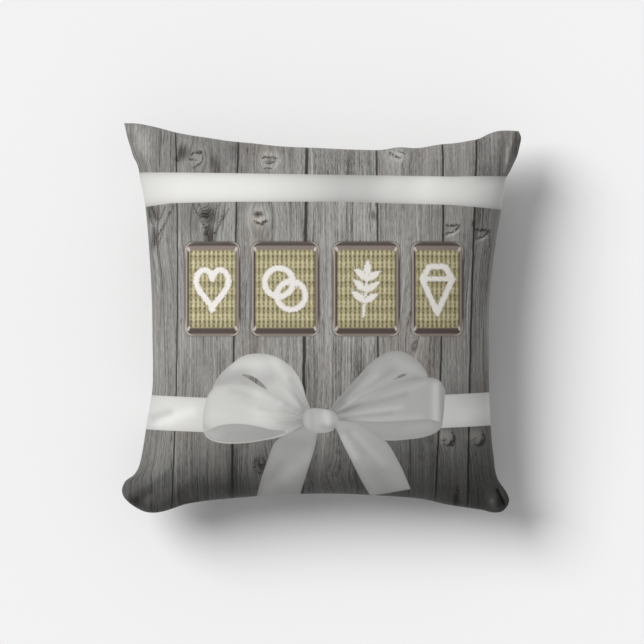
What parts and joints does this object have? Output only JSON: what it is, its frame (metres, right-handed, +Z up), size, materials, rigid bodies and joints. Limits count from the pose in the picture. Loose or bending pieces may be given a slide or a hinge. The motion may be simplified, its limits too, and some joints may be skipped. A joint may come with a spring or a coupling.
{
  "type": "ring bearer pillow",
  "caption": "Square stuffed pillow in a printed fabric cover with a ribbon-and-bow design over weathered planks, closed by a concealed zip in its lower seam.",
  "frame": {"origin": "on the surface the pillow lies on, under the middle of its plan", "axes": "+Z up through the thickness, out of the printed front; +Y towards the top edge of the print; +X to the right of the print"},
  "size_m": [0.3942, 0.3897, 0.14],
  "materials": {
    "printed_fabric": "matte",
    "back_fabric": "matte",
    "seam_thread": "matte",
    "insert_fabric": "matte",
    "fibre_fill": "matte",
    "zip_tape": "matte",
    "zip_coil": "satin",
    "zip_metal": "polished",
    "care_label": "satin"
  },
  "bodies": {
    "pillow": {"cover_front_panel": "printed_fabric", "cover_back_panel": "back_fabric", "cover_seam_thread": "seam_thread", "insert_front_panel": "insert_fabric", "insert_back_panel": "insert_fabric", "insert_seam_thread": "seam_thread", "fibre_fill": "fibre_fill", "care_label": "care_label", "zipper_tape_upper": "zip_tape", "zipper_tape_lower": "zip_tape", "zipper_coil_upper": "zip_coil", "zipper_coil_lower": "zip_coil", "zipper_stitch_upper": "seam_thread", "zipper_stitch_lower": "seam_thread", "zipper_top_stop_upper": "zip_metal", "zipper_top_stop_lower": "zip_metal", "zipper_bottom_stop": "zip_metal"},
    "slider": {"zipper_slider": "zip_metal"},
    "pull_tab": {"zipper_pull_tab": "zip_metal"}
  },
  "joints": [
    {"name": "zip_run", "type": "hinge", "parent": "pillow", "child": "slider", "pos_m": [0, -0.9588, 0.062], "axis": [0, 0, -1], "range_deg": [0, 14.18]},
    {"name": "tab_swing", "type": "hinge", "parent": "slider", "child": "pull_tab", "pos_m": [-0.10565, -0.18256, 0.062], "axis": [0, 0, -1], "range_deg": [0, 170]}
  ]
}
